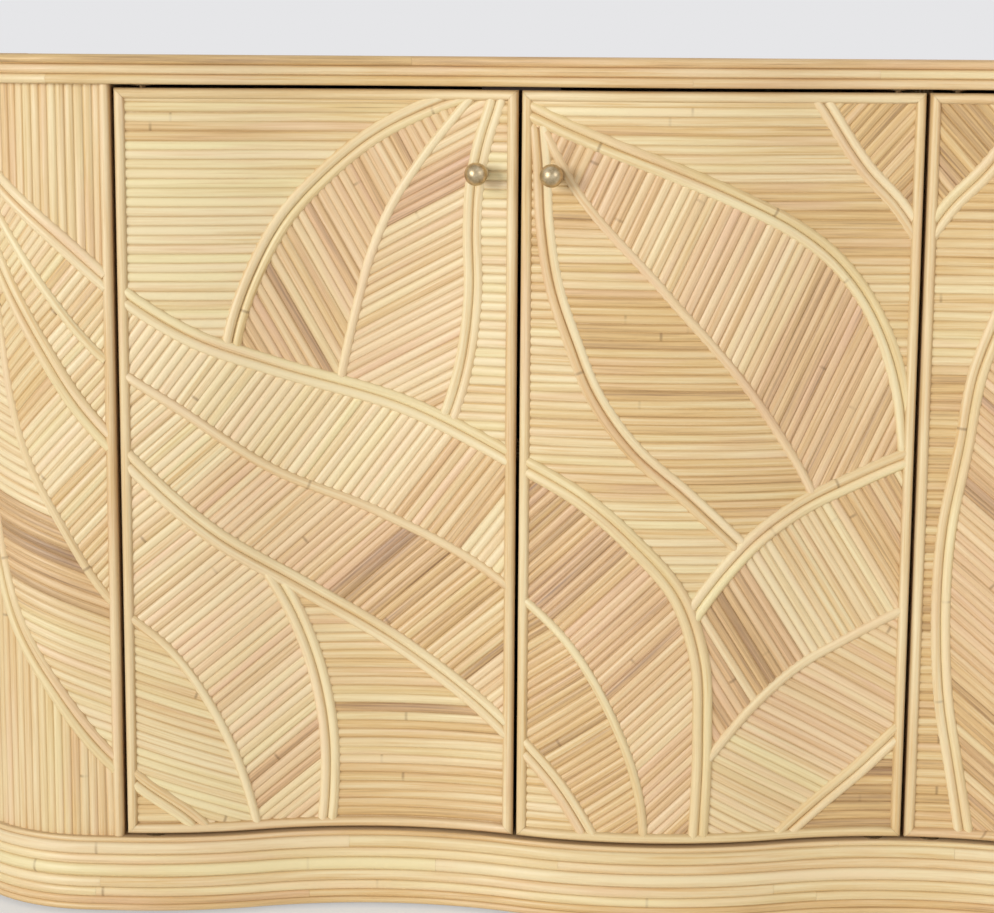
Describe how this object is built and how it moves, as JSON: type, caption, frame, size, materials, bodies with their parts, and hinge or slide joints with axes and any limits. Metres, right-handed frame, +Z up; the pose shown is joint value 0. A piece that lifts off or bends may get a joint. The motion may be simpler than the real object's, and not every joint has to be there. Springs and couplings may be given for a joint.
{
  "type": "sideboard",
  "caption": "Low reed-clad sideboard with a serpentine front, rounded ends, leaf-pattern doors on concealed pivots, ball knobs and shelved compartments on a banded plinth.",
  "frame": {"origin": "on the floor, under the middle of the cabinet", "axes": "+X along the front to the right as seen from the front, +Y to the back, +Z up; the doors face -Y"},
  "size_m": [1.834, 0.4638, 0.803],
  "materials": {
    "reed": "satin lacquer",
    "plywood": "matt lacquer",
    "back_plywood": "unfinished",
    "brass": "aged satin",
    "bush_brass": "turned and browned",
    "steel": "antique bronze plated",
    "catch_plastic": "moulded",
    "glide_plastic": "moulded"
  },
  "bodies": {
    "carcass": {"plinth_front_wall": "plywood", "plinth_left_wall": "plywood", "plinth_right_wall": "plywood", "plinth_back_rail": "plywood", "plinth_cross_rails": "plywood", "plinth_reed_band": "reed", "floor_glides": "glide_plastic", "bottom_board": "plywood", "top_board": "plywood", "top_reeds": "reed", "top_reed_band": "reed", "pivot_bushes": "bush_brass", "back_panel_screws": "steel", "back_panel": "back_plywood", "left_upright": "plywood", "right_upright": "plywood", "centre_partition": "plywood", "left_shelf": "plywood", "right_shelf": "plywood", "shelf_supports": "steel", "left_end_panel": "plywood", "left_end_reeds": "reed", "right_end_panel": "plywood", "right_end_reeds": "reed", "end_edge_beads": "reed", "magnetic_catches": "catch_plastic"},
    "left_outer_door": {"left_outer_door_core": "plywood", "left_outer_door_reeds": "reed", "left_outer_door_edge_beads": "reed", "left_outer_door_knob": "brass", "left_outer_door_knob_screw": "steel", "left_outer_door_pivot_pins": "steel", "left_outer_door_strike_plate": "steel"},
    "left_inner_door": {"left_inner_door_core": "plywood", "left_inner_door_reeds": "reed", "left_inner_door_edge_beads": "reed", "left_inner_door_knob": "brass", "left_inner_door_knob_screw": "steel", "left_inner_door_pivot_pins": "steel", "left_inner_door_strike_plate": "steel"},
    "right_inner_door": {"right_inner_door_core": "plywood", "right_inner_door_reeds": "reed", "right_inner_door_edge_beads": "reed", "right_inner_door_knob": "brass", "right_inner_door_knob_screw": "steel", "right_inner_door_pivot_pins": "steel", "right_inner_door_strike_plate": "steel"},
    "right_outer_door": {"right_outer_door_core": "plywood", "right_outer_door_reeds": "reed", "right_outer_door_edge_beads": "reed", "right_outer_door_knob": "brass", "right_outer_door_knob_screw": "steel", "right_outer_door_pivot_pins": "steel", "right_outer_door_strike_plate": "steel"}
  },
  "joints": [
    {"name": "left_outer_door_pivot", "type": "hinge", "parent": "carcass", "child": "left_outer_door", "pos_m": [-0.70525, -0.20615, 0.426], "axis": [0, 0, -1], "range_deg": [0, 105]},
    {"name": "left_inner_door_pivot", "type": "hinge", "parent": "carcass", "child": "left_inner_door", "pos_m": [-0.02675, -0.17185, 0.426], "axis": [0, 0, 1], "range_deg": [0, 80]},
    {"name": "right_inner_door_pivot", "type": "hinge", "parent": "carcass", "child": "right_inner_door", "pos_m": [0.02675, -0.17185, 0.426], "axis": [0, 0, -1], "range_deg": [0, 80]},
    {"name": "right_outer_door_pivot", "type": "hinge", "parent": "carcass", "child": "right_outer_door", "pos_m": [0.70525, -0.20615, 0.426], "axis": [0, 0, 1], "range_deg": [0, 105]}
  ]
}
